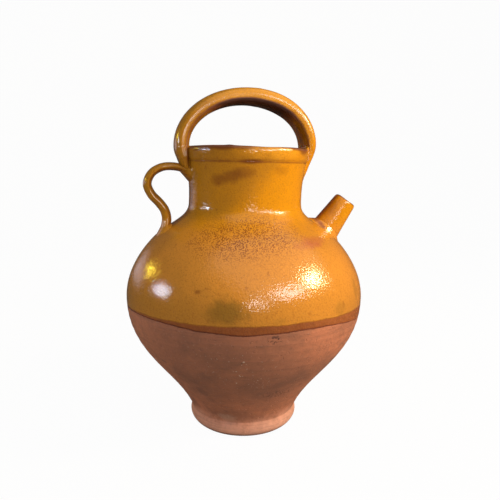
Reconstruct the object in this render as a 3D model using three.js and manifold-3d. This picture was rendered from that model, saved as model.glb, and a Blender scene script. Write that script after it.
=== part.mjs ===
// Terracotta water jar with an arched carrying handle over the mouth, a side handle and a short spout.
// Millimetres, +Z up. The origin is the centre of the underside, the spout points to +X and the side
// handle to -X. Each piece of clay that a potter throws, pulls or rolls is one closed mesh, and a thin
// film of slip is left open between neighbours.
import * as THREE from "three";
import { mergeVertices } from "three/addons/utils/BufferGeometryUtils.js";
import Module from "manifold-3d";

const wasm = await Module();
wasm.setup();

// Thrown body
const BASE_RADIUS = 43.4; // flat underside
const FLOOR_HEIGHT = 11; // top of the floor inside
const FLOOR_RADIUS = 35; // where the floor starts to curve up
const FOOT_RADIUS = 53.6; // at the crease between foot and body
const FOOT_HEIGHT = 18;
const BELLY_RADIUS = 119;
const BELLY_HEIGHT = 137;
const SHOULDER_RADIUS = 87.8; // where the belly's curve runs into the slope of the shoulder
const SHOULDER_HEIGHT = 197.8;
const COLLAR_RADIUS = 62.9; // where the neck sits on the shoulder
const COLLAR_HEIGHT = 215.6;
const NECK_RADIUS = 56.6; // at the neck's waist
const NECK_HEIGHT = 236;
const WALL = 5.5;

// Rim band, above a tooled groove
const GROOVE_RADIUS = 60.2;
const GROOVE_HEIGHT = 268.8;
const BAND_RADIUS = 61.1; // just above the groove
const BAND_HEIGHT = 271.2;
const LIP_RADIUS = 61.7; // where the band starts to round over
const LIP_HEIGHT = 278.2;
const RIM_RADIUS = 58.2; // top of the rounded lip
const RIM_HEIGHT = 282.8;
const MOUTH_RADIUS = 54;
const MOUTH_HEIGHT = 274.8; // where the lip has rounded into the inside of the neck

// The neck was thrown a little off plumb: its rim is moved towards the spout and dips on that side.
const RIM_SHIFT = 1.8;
const RIM_DIP = 1.4;

// Joints between thrown sections: a ridge on the upper edge sits in a groove in the lower edge.
const SLIP = 0.3;
const RIDGE_DEPTH = 2;
const LAND_SHARE = 0.26; // flat land on each side of the ridge, as a share of the wall

// Spout: a small cone set square on the shoulder
const SPOUT_ROOT = new THREE.Vector3(87.1, 0, 201.3);
const SPOUT_MOUTH = new THREE.Vector3(108.5, 0, 230.6);
const SPOUT_ROOT_RADIUS = 15;
const SPOUT_WAIST_RADIUS = 12.8;
const SPOUT_MOUTH_RADIUS = 11.5;
const SPOUT_BORE = 6.8;
const SPOUT_PIERCING = 8; // radius of the hole through the shoulder
const SPOUT_SINK = 16; // how far the cone is carried below the shoulder before it is trimmed to it

// Arched handle over the mouth, thickest at its crown
const ARCH_HALF_SPAN = 64.3;
const ARCH_SHIFT = 0.9; // how far the arch stands towards the spout
const ARCH_SPRING = 283.7; // height where the arch is widest
const ARCH_HEIGHT = 341;
const ARCH_WIDTH = 32;
const ARCH_CROWN_THICKNESS = 16.4;
const ARCH_LEG_THICKNESS = 14;
const ARCH_TAIL_WIDTH = 35;
const ARCH_TAIL_THICKNESS = 7;
const ARCH_FIRST_TAIL = 0.11; // share of its length over which the side handle's end thins
const ARCH_LAST_TAIL = 0.25; // and the spout's end
const ARCH_UNDER_POWER = 0.6; // its underside is flatter than its back

// Side handle from under the rim, out and down to the shoulder
const SIDE_WIDTH = 20;
const SIDE_ROOT_WIDTH = 25;
const SIDE_UPPER_THICKNESS = 7.8;
const SIDE_LOWER_THICKNESS = 9.2;

// Lutes: soft clay pressed round each root, spread against the pot and fading along the piece it holds
const LUTE_SPREAD = 7;
const LUTE_EDGE = 0.9;
const TAIL_LUTE_RISE = 3; // over the tail of a strap that lies flat against the pot
const SPOUT_LUTE_SPREAD = 4; // tighter round the spout
const SPOUT_LUTE_HEIGHT = 9;

// Facets
const TURN_STEPS = 48;
const SPOUT_STEPS = 24;
const CURVE_STEP = 16; // length of outline in one facet
const FEWEST_STEPS = 3;
const OVAL_SIDES = 14;
const ARCH_STEPS = 36;
const SIDE_STEPS = 26;
const LUTE_STEPS = 7;

const finish = (name, color, roughness) =>
  new THREE.MeshStandardMaterial({ name, color, roughness, metalness: 0 });
const FIRED_CLAY = finish("fired_clay", 0xb0664a, 0.85);
const HONEY_GLAZE = finish("honey_glaze", 0xb87818, 0.2);
const HANDLE_GLAZE = finish("handle_glaze", 0xa86a14, 0.2);
const LUTE_GLAZE = finish("lute_glaze", 0x8f5512, 0.25);

// Outline of the outside, as radius and height
const bezier = (...points) =>
  new THREE.CubicBezierCurve(...points.map(([r, z]) => new THREE.Vector2(r, z)));
const CREASE = [FOOT_RADIUS, FOOT_HEIGHT];
const BELLY = [BELLY_RADIUS, BELLY_HEIGHT];
const SHOULDER = [SHOULDER_RADIUS, SHOULDER_HEIGHT];
const COLLAR = [COLLAR_RADIUS, COLLAR_HEIGHT];
const WAIST = [NECK_RADIUS, NECK_HEIGHT];
const GROOVE = [GROOVE_RADIUS, GROOVE_HEIGHT];
const RIM = [RIM_RADIUS, RIM_HEIGHT];
const FOOT_CURVE = bezier([BASE_RADIUS, 0], [49, 0], [59, 8.8], CREASE);
const FLANK_CURVE = bezier(CREASE, [73.9, 64.8], [BELLY_RADIUS, 82.2], BELLY);
const BELLY_CURVE = bezier(BELLY, [BELLY_RADIUS, 167.7], [94, 192.6], SHOULDER);
const SHOULDER_CURVE = bezier(SHOULDER, [79.1, 205.2], [69.8, 209.4], COLLAR);
const FILLET_CURVE = bezier(COLLAR, [56.1, 222], [NECK_RADIUS, 225.5], WAIST);
const FLARE_CURVE = bezier(WAIST, [NECK_RADIUS, 249], [58.4, 259.5], GROOVE);
const LIP_CURVE = bezier([LIP_RADIUS, LIP_HEIGHT], [LIP_RADIUS, 281.8], [60.2, RIM_HEIGHT], RIM);
const MOUTH_CURVE = bezier(RIM, [55.6, RIM_HEIGHT], [54.2, 279.8], [MOUTH_RADIUS, MOUTH_HEIGHT]);
const FLOOR_CURVE = bezier([47.5, 17.8], [45.6, 13.6], [42, FLOOR_HEIGHT], [FLOOR_RADIUS, FLOOR_HEIGHT]);

// A closed mesh as a solid: its shared corners are merged by position alone.
function solidOf(geometry) {
  const bare = geometry.clone();
  bare.deleteAttribute("normal");
  bare.deleteAttribute("uv");
  const merged = mergeVertices(bare);
  const vertProperties = merged.attributes.position.array;
  const triVerts = new Uint32Array(merged.index.array);
  return new wasm.Manifold(new wasm.Mesh({ numProp: 3, vertProperties, triVerts }));
}

// A solid as a named mesh.
function meshOf(name, solid, material) {
  const { vertProperties, triVerts } = solid.getMesh();
  const geometry = new THREE.BufferGeometry();
  geometry.setAttribute("position", new THREE.BufferAttribute(vertProperties, 3));
  geometry.setIndex(new THREE.BufferAttribute(triVerts, 1));
  geometry.computeVertexNormals();
  const mesh = new THREE.Mesh(geometry, material);
  mesh.name = name;
  return mesh;
}

// An outline of radius and height turned about the Z axis.
function turned(outline, steps = TURN_STEPS) {
  return new THREE.LatheGeometry(outline, steps).rotateX(Math.PI / 2);
}

// Moves and dips what stands above the collar, more the higher it is, as the off-plumb neck does.
function leaned(geometry) {
  const position = geometry.getAttribute("position");
  for (let i = 0; i < position.count; i++) {
    const x = position.getX(i);
    const z = position.getZ(i);
    const share = Math.max(0, (z - COLLAR_HEIGHT) / (RIM_HEIGHT - COLLAR_HEIGHT));
    position.setX(i, x + RIM_SHIFT * share);
    position.setZ(i, z - (RIM_DIP * share * x) / LIP_RADIUS);
  }
  return geometry;
}

// A point of an outline curve, moved out along the curve's normal.
function offsetPoint(curve, t, distance) {
  const tangent = curve.getTangent(t);
  return curve.getPoint(t).add(new THREE.Vector2(tangent.y, -tangent.x).multiplyScalar(distance));
}

// Points along a run of outline curves, each moved out by the given distance.
function along(curves, distance = 0) {
  return curves.flatMap((curve, which) => {
    const steps = Math.max(FEWEST_STEPS, Math.round(curve.getLength() / CURVE_STEP));
    const points = [];
    for (let i = which ? 1 : 0; i <= steps; i++) points.push(offsetPoint(curve, i / steps, distance));
    return points;
  });
}

// The edge of a wall at a joint, from outside to inside: a flat land, a V that points down, a flat land.
// The lower piece's edge is set back along the wall by the slip film.
function jointEdge(curve, end, setBack) {
  const outer = curve.getPoint(end);
  const inner = offsetPoint(curve, end, -WALL);
  const tangent = curve.getTangent(end);
  const at = (share, depth) => outer.clone().lerp(inner, share).addScaledVector(tangent, -depth - setBack);
  return [at(0, 0), at(LAND_SHARE, 0), at(0.5, RIDGE_DEPTH), at(1 - LAND_SHARE, 0), at(1, 0)];
}

// A thrown wall between two joints, as a closed outline: up the outside, across the upper joint,
// down the inside, and back across the lower joint.
function wallOutline(curves, upperEdge) {
  const outside = along(curves).slice(1, -1);
  const inside = along(curves, -WALL).slice(1, -1).reverse();
  const lowerEdge = jointEdge(curves[0], 0, 0);
  return [lowerEdge[0], ...outside, ...upperEdge, ...inside, ...lowerEdge.reverse()];
}

// The whole pot as one mass with nothing inside, grown by a margin: what applied clay is pressed against.
function potMass(margin) {
  const body = [FOOT_CURVE, FLANK_CURVE, BELLY_CURVE, SHOULDER_CURVE, FILLET_CURVE, FLARE_CURVE];
  const underside = new THREE.Vector2(0, -margin);
  const band = new THREE.Vector2(BAND_RADIUS + margin, BAND_HEIGHT);
  const lip = along([LIP_CURVE, MOUTH_CURVE], margin);
  const plug = new THREE.Vector2(0, MOUTH_HEIGHT);
  return solidOf(leaned(turned([underside, ...along(body, margin), band, ...lip, plug])));
}

// Oval ring across a line that lies in the XZ plane: width along Y, thickness across the line. The
// power is below 1, which squares the oval off, as a pulled strap is. The half of the ring to the right
// of the line's direction can have a power of its own.
const OVAL_POWER = 0.8;
const squared = (value, power) => Math.sign(value) * Math.abs(value) ** power;
function ovalRing(line, t, [halfWidth, halfThickness, rightPower = OVAL_POWER]) {
  const centre = line.getPoint(t);
  const tangent = line.getTangent(t);
  const across = new THREE.Vector3(-tangent.z, 0, tangent.x);
  const side = new THREE.Vector3(0, 1, 0);
  return Array.from({ length: OVAL_SIDES }, (_, i) => {
    const angle = (2 * Math.PI * i) / OVAL_SIDES;
    const power = angle > Math.PI ? rightPower : OVAL_POWER;
    const point = centre.clone().addScaledVector(side, halfWidth * squared(Math.cos(angle), power));
    return point.addScaledVector(across, halfThickness * squared(Math.sin(angle), power));
  });
}

// A closed mesh through a row of rings with equal counts of points, with a flat fan at each end.
function lofted(rings) {
  const sides = rings[0].length;
  const last = rings.length - 1;
  const centreOf = (ring) => ring.reduce((sum, p) => sum.add(p), new THREE.Vector3()).divideScalar(sides);
  const points = [...rings.flat(), centreOf(rings[0]), centreOf(rings[last])];
  const startCentre = rings.length * sides;
  const faces = [];
  for (let k = 0; k < sides; k++) {
    const next = (k + 1) % sides;
    for (let i = 0; i < last; i++) {
      const a = i * sides + k;
      const b = i * sides + next;
      faces.push(a, b, a + sides, b, b + sides, a + sides);
    }
    faces.push(startCentre, next, k);
    faces.push(startCentre + 1, last * sides + k, last * sides + next);
  }
  return new THREE.BufferGeometry().setFromPoints(points).setIndex(faces);
}

// A strap of clay along a line, between two shares of its length. The size function gives half its
// width, half its thickness and any power of its own at a share of the length.
function strap(line, size, steps, from = 0, to = 1) {
  const rings = [];
  for (let i = 0; i <= steps; i++) {
    const t = from + ((to - from) * i) / steps;
    rings.push(ovalRing(line, t, size(t)));
  }
  return solidOf(lofted(rings));
}

// The same strap size with margins added to half the width and half the thickness.
const grown = (size, side, face) => (t) => {
  const [halfWidth, halfThickness, rightPower] = size(t);
  return [halfWidth + side, halfThickness + face, rightPower];
};

// A roll of clay round a strap, between the share of its length at the wall and the free share.
function luteRoll(line, size, wall, free, rise) {
  const fade = (t) => ((free - t) / (free - wall)) ** 2;
  const spread = (t) => {
    const side = mix(LUTE_EDGE, LUTE_SPREAD, fade(t));
    return grown(size, side, mix(LUTE_EDGE, rise, fade(t)))(t);
  };
  return strap(line, spread, LUTE_STEPS, Math.min(wall, free), Math.max(wall, free));
}

const mix = THREE.MathUtils.lerp;
const ease = THREE.MathUtils.smoothstep;
function lineThrough(points) {
  const corners = points.map(([x, z]) => new THREE.Vector3(x, 0, z));
  return new THREE.CatmullRomCurve3(corners, false, "centripetal");
}

// Thrown body, from the foot up
const foot = solidOf(
  turned([
    new THREE.Vector2(0, 0),
    ...FOOT_CURVE.getPoints(7).slice(0, -1),
    ...jointEdge(FLANK_CURVE, 0, SLIP),
    ...FLOOR_CURVE.getPoints(FEWEST_STEPS),
    new THREE.Vector2(0, FLOOR_HEIGHT),
  ]),
);
const lowerBody = solidOf(turned(wallOutline([FLANK_CURVE], jointEdge(BELLY_CURVE, 0, SLIP))));
const shoulderEdge = jointEdge(FILLET_CURVE, 0, SLIP);
const shoulder = solidOf(turned(wallOutline([BELLY_CURVE, SHOULDER_CURVE], shoulderEdge)));
const neckEdge = jointEdge(FLARE_CURVE, 1, SLIP);
const neck = solidOf(leaned(turned(wallOutline([FILLET_CURVE, FLARE_CURVE], neckEdge))));
const rimEdge = jointEdge(FLARE_CURVE, 1, 0);
const band = new THREE.Vector2(BAND_RADIUS, BAND_HEIGHT);
const rimOutline = [rimEdge[0], band, ...along([LIP_CURVE, MOUTH_CURVE]), ...rimEdge.reverse()];
const rim = solidOf(leaned(turned(rimOutline)));
const pot = potMass(SLIP);

// Spout, over a hole pierced through the shoulder
const spoutLength = SPOUT_ROOT.distanceTo(SPOUT_MOUTH);
const spoutAxis = SPOUT_MOUTH.clone().sub(SPOUT_ROOT).normalize();
const spoutTilt = new THREE.Quaternion().setFromUnitVectors(new THREE.Vector3(0, 0, 1), spoutAxis);

// An outline turned about the spout's own axis, with height 0 at its root on the shoulder.
function onSpoutAxis(outline) {
  const points = outline.map(([r, z]) => new THREE.Vector2(r, z));
  const placed = turned(points, SPOUT_STEPS).applyQuaternion(spoutTilt).translate(...SPOUT_ROOT);
  return solidOf(placed);
}
function spoutCone(margin) {
  return onSpoutAxis([
    [0, -SPOUT_SINK],
    [SPOUT_ROOT_RADIUS + margin, -SPOUT_SINK],
    [SPOUT_ROOT_RADIUS + margin, 0],
    [SPOUT_WAIST_RADIUS + margin, 0.5 * spoutLength],
    [SPOUT_MOUTH_RADIUS + margin, spoutLength - 1.8],
    [SPOUT_MOUTH_RADIUS - 0.8 + margin, spoutLength - 0.5],
    [SPOUT_MOUTH_RADIUS - 2, spoutLength + margin],
    [0, spoutLength + margin],
  ]);
}
const spoutBore = onSpoutAxis([
  [0, -2 * SPOUT_SINK],
  [SPOUT_PIERCING, -2 * SPOUT_SINK],
  [SPOUT_PIERCING, 0],
  [SPOUT_BORE, 0.6 * spoutLength],
  [SPOUT_BORE, spoutLength - 1.5],
  [SPOUT_BORE + 1.4, spoutLength + 1],
  [0, spoutLength + 1],
]);
const spout = spoutCone(0).subtract(pot).subtract(spoutBore);
const spoutRoll = onSpoutAxis([
  [0, -SPOUT_SINK],
  [SPOUT_ROOT_RADIUS + SPOUT_LUTE_SPREAD + 1, -SPOUT_SINK],
  [SPOUT_ROOT_RADIUS + SPOUT_LUTE_SPREAD + 1, -2.5],
  [SPOUT_ROOT_RADIUS + 0.6 * SPOUT_LUTE_SPREAD, 0.6],
  [SPOUT_ROOT_RADIUS + 0.25 * SPOUT_LUTE_SPREAD, 0.45 * SPOUT_LUTE_HEIGHT],
  [SPOUT_ROOT_RADIUS + 0.2, SPOUT_LUTE_HEIGHT],
  [0, SPOUT_LUTE_HEIGHT],
]);
const spoutLute = spoutRoll.subtract(pot).subtract(spoutCone(SLIP));

// Arched handle: half an ellipse, with a tail at each end that runs down into the rim and the neck.
// A tail spreads, thins and ends in a rounded tongue. The one on the spout's side thins over a longer way.
const archCrown = ARCH_HEIGHT - ARCH_CROWN_THICKNESS / 2;
const archPoints = [[-53, 256.5], [-60.3, 266], [-62.4, 275.5]];
for (let angle = 180; angle >= 0; angle -= 22.5) {
  const turn = THREE.MathUtils.degToRad(angle);
  const rise = (archCrown - ARCH_SPRING) * Math.sin(turn);
  archPoints.push([ARCH_SHIFT + ARCH_HALF_SPAN * Math.cos(turn), ARCH_SPRING + rise]);
}
archPoints.push([63.5, 275.5], [59.6, 266], [56.1, 255], [53.4, 246]);
const archLine = lineThrough(archPoints);
const archSize = (t) => {
  const end = Math.min(t, 1 - t);
  const tail = 1 - ease(end, 0.02, t < 0.5 ? ARCH_FIRST_TAIL : ARCH_LAST_TAIL);
  const tongue = mix(0.4, 1, Math.sqrt(Math.min(1, end / 0.07)));
  const thickness = mix(ARCH_LEG_THICKNESS, ARCH_CROWN_THICKNESS, Math.sin(Math.PI * t) ** 2);
  const halfWidth = (tongue * mix(ARCH_WIDTH, ARCH_TAIL_WIDTH, tail)) / 2;
  return [halfWidth, mix(thickness, ARCH_TAIL_THICKNESS, tail) / 2, ARCH_UNDER_POWER];
};
const archHandle = strap(archLine, archSize, ARCH_STEPS).subtract(pot);
const archClear = strap(archLine, grown(archSize, SLIP, SLIP), ARCH_STEPS);
const archRoll = luteRoll(archLine, archSize, 0.98, 0.86, TAIL_LUTE_RISE);
const archLute = archRoll.subtract(pot).subtract(archClear);

// Side handle
const sideLine = lineThrough([
  [-50, 254.5], [-60, 261.3], [-71, 264], [-83.5, 262.8], [-92.6, 256.8], [-96.5, 247],
  [-93, 237], [-85.8, 228.8], [-80.9, 221.6], [-79, 213.5], [-80.2, 204.5], [-82.5, 195],
]);
const sideSize = (t) => {
  const root = 1 - ease(Math.min(t, 1 - t), 0.05, 0.2);
  const thickness = mix(SIDE_UPPER_THICKNESS, SIDE_LOWER_THICKNESS, ease(t, 0.2, 0.8));
  return [mix(SIDE_WIDTH, SIDE_ROOT_WIDTH, root) / 2, thickness / 2];
};
const sideHandle = strap(sideLine, sideSize, SIDE_STEPS).subtract(pot).subtract(archClear);
const sideClear = strap(sideLine, grown(sideSize, SLIP, SLIP), SIDE_STEPS);
const sideRoll = luteRoll(sideLine, sideSize, 0.95, 0.82, LUTE_SPREAD);
const sideLute = sideRoll.subtract(pot).subtract(sideClear);

// One lute holds the arch's first tail and the side handle's upper root, which sit together on the neck.
const firstTailRoll = luteRoll(archLine, archSize, 0.035, 0.13, TAIL_LUTE_RISE);
const upperRootRoll = luteRoll(sideLine, sideSize, 0.035, 0.15, LUTE_SPREAD);
const sharedRoll = firstTailRoll.add(upperRootRoll);
const sharedLute = sharedRoll.subtract(pot).subtract(archClear).subtract(sideClear);

const jar = new THREE.Group();
jar.name = "terracotta_water_jar";
jar.add(
  meshOf("foot", foot, FIRED_CLAY),
  meshOf("lower_body", lowerBody, FIRED_CLAY),
  meshOf("shoulder", shoulder.subtract(spoutBore), HONEY_GLAZE),
  meshOf("neck", neck, HONEY_GLAZE),
  meshOf("rim", rim, HONEY_GLAZE),
  meshOf("spout", spout, HANDLE_GLAZE),
  meshOf("spout_lute", spoutLute, LUTE_GLAZE),
  meshOf("arch_handle", archHandle, HANDLE_GLAZE),
  meshOf("arch_handle_lute", archLute, LUTE_GLAZE),
  meshOf("side_handle", sideHandle, HANDLE_GLAZE),
  meshOf("side_handle_lute", sideLute, LUTE_GLAZE),
  meshOf("shared_root_lute", sharedLute, LUTE_GLAZE),
);

export default jar;
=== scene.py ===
"""Looks of a terracotta water jar: a hand-thrown body with a bare lower half and a honey glaze above,
an arched handle over the mouth, a side handle and a short spout. Metres, +Z up, spout towards +X."""

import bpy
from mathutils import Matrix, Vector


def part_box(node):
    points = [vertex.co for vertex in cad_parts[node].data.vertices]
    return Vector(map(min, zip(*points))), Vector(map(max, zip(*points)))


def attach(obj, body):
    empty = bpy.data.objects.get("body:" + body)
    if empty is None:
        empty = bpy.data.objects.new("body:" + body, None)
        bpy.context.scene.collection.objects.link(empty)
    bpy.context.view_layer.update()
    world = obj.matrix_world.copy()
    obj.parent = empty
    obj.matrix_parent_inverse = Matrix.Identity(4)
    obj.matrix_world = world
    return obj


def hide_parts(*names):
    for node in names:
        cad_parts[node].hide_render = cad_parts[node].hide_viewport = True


bl_info = {
    "name": "Terracotta Water Jar",
    "version": (1, 0, 0),
    "blender": (4, 5, 0),
    "location": "View3D > Sidebar > Jar",
    "description": "Builds the thrown body, the applied handles and spout, and their glaze and clay",
    "category": "Object",
}

import math

import bpy
import numpy as np
from bpy.props import FloatProperty, FloatVectorProperty, PointerProperty
from mathutils import Euler, Matrix, Vector

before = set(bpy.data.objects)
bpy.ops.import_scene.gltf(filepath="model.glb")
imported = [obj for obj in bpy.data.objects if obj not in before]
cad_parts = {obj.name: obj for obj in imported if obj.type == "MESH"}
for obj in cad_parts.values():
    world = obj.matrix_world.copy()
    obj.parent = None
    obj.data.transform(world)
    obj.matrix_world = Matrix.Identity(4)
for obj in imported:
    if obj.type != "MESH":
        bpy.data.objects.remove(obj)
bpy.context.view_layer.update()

MM = 0.001
BODY = "root"
COLUMNS = 256  # round the thrown body
ROW_STEP = 1.3 * MM  # along its outline
ROUND = 2 * math.pi
OVAL_COLUMNS = 72  # round a strap or the spout
OVAL_ANGLES = ROUND * np.arange(OVAL_COLUMNS) / OVAL_COLUMNS
LUTE_ROWS = 16  # from the free edge of pressed clay to its edge on the pot
TURN_UNDER = 0.8 * MM  # how far those two edges are tucked in
HALVINGS = 30  # to find where a line of a strap enters the pot
INSET = 1.35  # most that the unevenness adds, so that the pot stays inside its outline
FLOOR_EDGE = 35 * MM  # where the floor inside starts to curve up
PIERCING_MARGIN = 2.4 * MM  # how far past the piercing the wall's quads are taken out
TAIL_WIDTH = 35 * MM  # of the arch's flattened ends
GROOVE_REACH = 1.9 * MM  # of the thin glaze and painted crease shade along the groove
GROOVE_THIN_AND_SHADE = 0.6  # how thin the glaze is there, and how dark the painted crease shade
FINISH = "honey_glaze_over_clay"
SLIP_HEIGHT = 0.1328  # about which the slip's edge waves
FRONT = -104  # degrees round the pot to about the middle of what the photograph shows
VIEW_TURN = -12  # degrees from straight ahead to the camera
SENSOR_WIDTH = 36  # millimetres
PAPER_FRONT, PAPER_BACK, PAPER_TOP = -4, 1.2, 4  # where the paper starts, bends up and ends
PAPER_BEND = 0.9  # radius of that bend
PAPER_SIDE = 5  # half the paper's width
PAPER_WHITE = 0.97  # share of plain white in what the camera sees of it
LAMP_AIM = (0, 0, 0.17)  # what the lamps face
LAMP_DISTANCE = 1.4  # from that point
LAMPS = (  # name, turn and rise in degrees, width and height, watts, tint
    ("right_window", 74, 29, 0.22, 0.18, 5, (1, 0.95, 0.85)),
    ("right_glow", 76, 29, 0.52, 0.42, 12, (1, 0.78, 0.4)),
    ("right_reflector", 43, 24, 0.7, 0.26, 6.8, (1, 0.95, 0.92)),
    ("front_reflector", 12, 13, 0.22, 0.18, 1.8, (1, 0.95, 0.92)),
    ("left_window", -111, 17.5, 0.19, 0.11, 2, (1, 0.75, 0.06)),
    ("left_reflector", -83, 12, 0.21, 0.07, 4.6, (0.74, 0.86, 1)),
    ("left_wall", -128, 6, 0.7, 0.3, 0.65, (0.85, 0.82, 1)),
    ("ceiling", 50, 60, 2.6, 2.4, 12, (1, 0.97, 0.92)),
)


# Sizes and colours


def length(name, description, default):
    return FloatProperty(name=name, description=description, default=default, unit="LENGTH", precision=4)


def colour(name, description, default):
    return FloatVectorProperty(
        name=name, description=description, default=default, subtype="COLOR", size=3, min=0, max=1
    )


def angle_of(name, description, degrees):
    return FloatProperty(name=name, description=description, default=math.radians(degrees), subtype="ANGLE")


def strength(name, description, default):
    return FloatProperty(name=name, description=description, default=default, min=0)


def place_of(name, description, default):
    return FloatVectorProperty(name=name, description=description, default=default, unit="LENGTH")


class JarBodySizes(bpy.types.PropertyGroup):
    """Outline of the thrown body"""

    base_radius: length("Base radius", "Edge of the flat underside", 0.0434)
    floor_height: length("Floor height", "Top of the floor inside", 0.011)
    foot_radius: length("Foot radius", "At the crease between foot and body", 0.0536)
    foot_height: length("Foot height", "Height of the crease", 0.018)
    belly_radius: length("Belly radius", "At the widest line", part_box("shoulder")[1].x)
    belly_height: length("Belly height", "Height of the widest line", 0.137)
    shoulder_radius: length("Shoulder radius", "Where the belly runs into the shoulder", 0.0878)
    shoulder_height: length("Shoulder height", "Height of that place", 0.1978)
    collar_radius: length("Collar radius", "Where the neck sits on the shoulder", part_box("neck")[1].x)
    collar_height: length("Collar height", "Height of that place", 0.2156)
    neck_radius: length("Neck radius", "At the waist of the neck", 0.0566)
    neck_height: length("Neck height", "Height of the waist", 0.236)
    groove_radius: length("Groove radius", "At the tooled groove under the rim", 0.0602)
    groove_height: length("Groove height", "Height of the groove", 0.2688)
    rim_radius: length("Rim radius", "Outside of the rim band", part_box("rim")[1].y)
    rim_height: length("Rim height", "Top of the lip", 0.2828)
    wall: length("Wall", "Thickness of the clay", 0.0055)
    shift: length("Lean", "How far the rim is moved towards the spout", 0.0018)
    dip: length("Dip", "How far the rim drops on the spout's side", 0.0009)
    unevenness: length("Unevenness", "How far the wall strays from a true circle", 0.0003)


class JarHandleSizes(bpy.types.PropertyGroup):
    """Straps of the arched handle and the side handle"""

    arch_span: length("Arch span", "Half the width of the arch, to the middle of the strap", 0.0643)
    arch_shift: length("Arch shift", "How far its middle lies towards the spout", 0.0009)
    arch_spring: length("Arch spring", "Height where the arch is widest", 0.2837)
    arch_top: length("Arch top", "Highest point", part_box("arch_handle")[1].z)
    arch_width: length("Arch width", "Width of the strap", 0.032)
    arch_crown: length("Crown thickness", "Thickness of the strap at the top", 0.0164)
    arch_leg: length("Leg thickness", "Thickness of the strap at the legs", 0.014)
    arch_tail: length("Tail thickness", "Thickness of the strap's flattened ends", 0.007)
    side_width: length("Side width", "Width of the side handle's strap", 0.02)
    side_upper: length("Side upper thickness", "Near the rim", 0.0078)
    side_lower: length("Side lower thickness", "Near the shoulder", 0.0092)
    press: length("Pressed clay", "How far the clay round a root spreads over the pot", 0.007)


class JarSpoutSizes(bpy.types.PropertyGroup):
    """Cone of the spout"""

    root: place_of("Root", "Centre of the root", (0.0871, 0, 0.2013))
    mouth: place_of("Mouth", "Centre of the mouth", (0.1085, 0, 0.2306))
    root_radius: length("Root radius", "Outside of the cone at the shoulder", 0.015)
    mouth_radius: length("Mouth radius", "Outside of the cone at the lip", 0.0115)
    bore: length("Bore radius", "Hole at the lip", 0.0068)
    piercing: length("Piercing radius", "Hole through the shoulder", 0.008)


class JarColours(bpy.types.PropertyGroup):
    """Glaze and clay"""

    honey: colour("Honey glaze", "Glaze over pale slip", (0.62, 0.24, 0.03))
    amber: colour("Amber glaze", "Deeper glaze on the neck and the rim", (0.65, 0.252, 0.004))
    # Painted light: paler glaze where the crown of the arch and the lip are lit.
    painted_light: colour("Straw glaze", "Paler glaze on the crown and the lip", (0.85, 0.36, 0.02))
    # Olive is also laid as painted shade on the parts turned away from the lamps.
    olive_and_shade: colour("Olive glaze", "Where the glaze lies thick", (0.26, 0.122, 0.016))
    # Rust is also laid as painted shade under the handles and in the groove.
    rust: colour("Thin glaze", "Along edges, where the clay shows through", (0.16, 0.04, 0.008))
    # Painted shade under the crown of the arch; elsewhere dark glaze worn through on the lip, on the band's
    # pooled edge and in pits in the clay.
    burnt_and_shade: colour("Burnt glaze", "Under the crown of the arch", (0.05, 0.012, 0.005))
    plum: colour("Plum glaze", "Along the spout's seam, and the pooled edge of the band", (0.19, 0.045, 0.02))
    russet: colour("Russet glaze", "Smears in front of the spout", (0.42, 0.1, 0.045))
    speck: colour("Speckle", "Iron specks in the glaze", (0.16, 0.029, 0.006))
    band: colour("Bare band", "Glaze that ran past the slip onto the clay", (0.34, 0.102, 0.026))
    clay: colour("Fired clay", "Bare clay", (0.46, 0.148, 0.066))
    foot: colour("Foot clay", "Paler clay on the foot", (0.74, 0.37, 0.26))
    # Also painted shade: over the left and middle of the lower body and along the bottom edge.
    soot_and_shade: colour("Soot", "Smoke and dirt on the bare clay", (0.13, 0.056, 0.032))
    chalk: colour("Pale specks", "Lime and dust on the clay", (0.5, 0.36, 0.27))


class JarStage(bpy.types.PropertyGroup):
    """Floor, light and camera"""

    floor: colour("Floor", "Paper of the floor and backdrop", (0.6, 0.59, 0.57))
    room: strength("Room", "Strength of the even light", 0.15)
    mirrored: strength("Mirrored", "Strength of floor and room in the glaze", 0.06)
    lens: FloatProperty(name="Lens", description="Focal length", default=38.88, unit="CAMERA")
    distance: length("Distance", "From the jar's axis to the camera", 0.54665)
    eye: length("Eye height", "Height of the camera", 0.266)
    heading: angle_of("Heading", "Turn of the view from straight ahead", -12.615)
    tilt: angle_of("Tilt", "How far the view looks down", 8.945)
    roll: angle_of("Roll", "How far the camera leans to its left", 0.55)


# Curves


def eased(low, high, x):
    """0 below low, 1 above high, and 3s^2 - 2s^3 of the share s between."""
    share = np.clip((x - low) / (high - low), 0, 1)
    return share * share * (3 - 2 * share)


def hill(x, at, wide):
    """Bell curve: 1 at a place, and e to the minus square of the distance from it over the width."""
    return np.exp(-(((x - at) / wide) ** 2))


def share_of_edge(distance, reach):
    """1 on an edge, easing to 0 at the reach."""
    return 1 - eased(0, reach, np.abs(distance))


def unit(vectors):
    """Vectors along the last axis, each divided by its length."""
    return vectors / np.maximum(np.linalg.norm(vectors, axis=-1, keepdims=True), 1e-12)


def cubic(a, b, c, d, step=ROW_STEP):
    """Cubic Bezier from a to d with controls b and c, at about one point every step."""
    corners = np.array([a, b, c, d], float)
    count = max(4, round(np.linalg.norm(np.diff(corners, axis=0), axis=1).sum() / step))
    t = np.linspace(0, 1, count + 1)[:, None]
    s = 1 - t
    return s**3 * corners[0] + 3 * s * s * t * corners[1] + 3 * s * t * t * corners[2] + t**3 * corners[3]


def joined(*runs):
    """Runs of points end to end, with each shared end kept once."""
    return np.vstack([runs[0], *(run[1:] for run in runs[1:])])


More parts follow.
